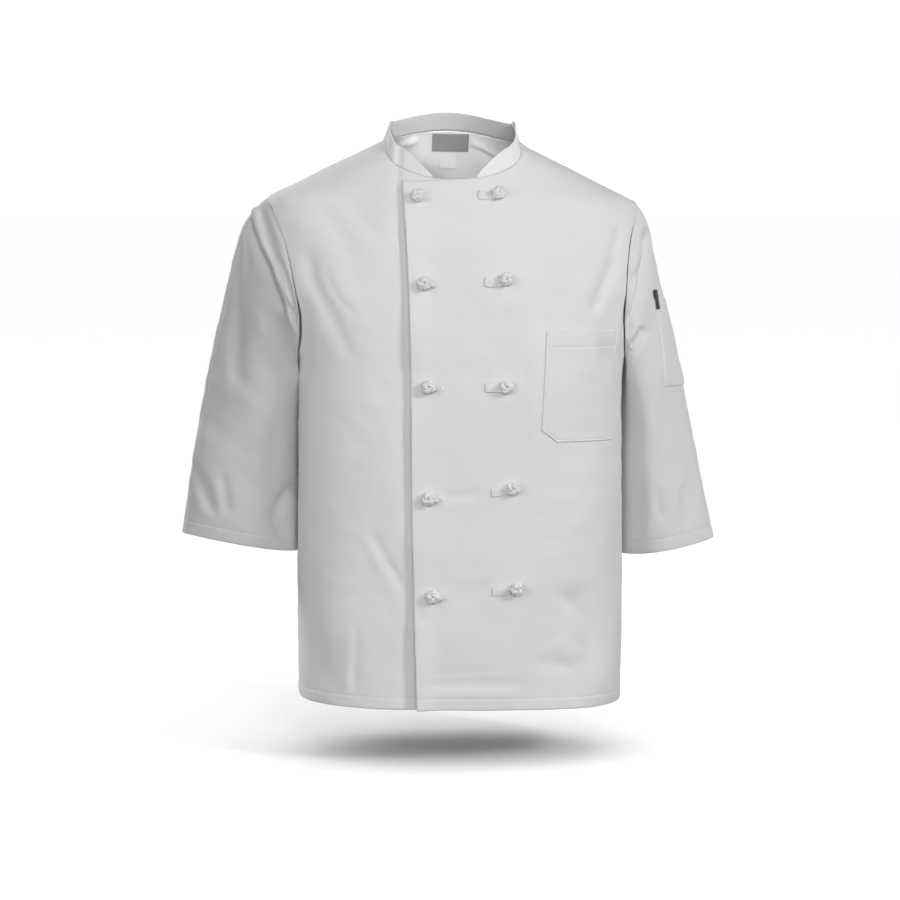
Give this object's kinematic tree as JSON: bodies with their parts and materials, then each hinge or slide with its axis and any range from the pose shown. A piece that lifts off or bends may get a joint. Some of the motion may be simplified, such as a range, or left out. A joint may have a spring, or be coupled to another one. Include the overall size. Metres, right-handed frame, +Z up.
{
  "type": "chef jacket",
  "caption": "Hollow double-breasted white twill chef jacket with stand collar, three-quarter sleeves, knotted cloth buttons, chest pocket and sleeve pocket.",
  "frame": {"origin": "midway between the two points where the shoulder seams meet the neck seam, where the wearer's shoulders carry the jacket", "axes": "+Z up, +X to the wearer's left, +Y to the wearer's back, so the front faces -Y"},
  "size_m": [0.714, 0.2684, 0.7765],
  "materials": {
    "twill": "white cotton-polyester twill",
    "knot": "white knotted cord cloth",
    "grey_label": "grey satin label, bare",
    "white_label": "white satin label, bare",
    "black_label": "black woven label, bare"
  },
  "bodies": {
    "root": {"back": "twill", "right_front": "twill", "left_front": "twill", "right_sleeve": "twill", "left_sleeve": "twill", "collar": "twill", "chest_pocket": "twill", "sleeve_pocket": "twill", "sleeve_label": "black_label", "neck_label": "grey_label", "size_label": "white_label", "knot_through_1": "knot", "knot_sewn_1": "knot", "tab_1": "knot", "knot_through_2": "knot", "knot_sewn_2": "knot", "tab_2": "knot", "knot_through_3": "knot", "knot_sewn_3": "knot", "tab_3": "knot", "knot_through_4": "knot", "knot_sewn_4": "knot", "tab_4": "knot", "knot_through_5": "knot", "knot_sewn_5": "knot", "tab_5": "knot"}
  },
  "joints": []
}
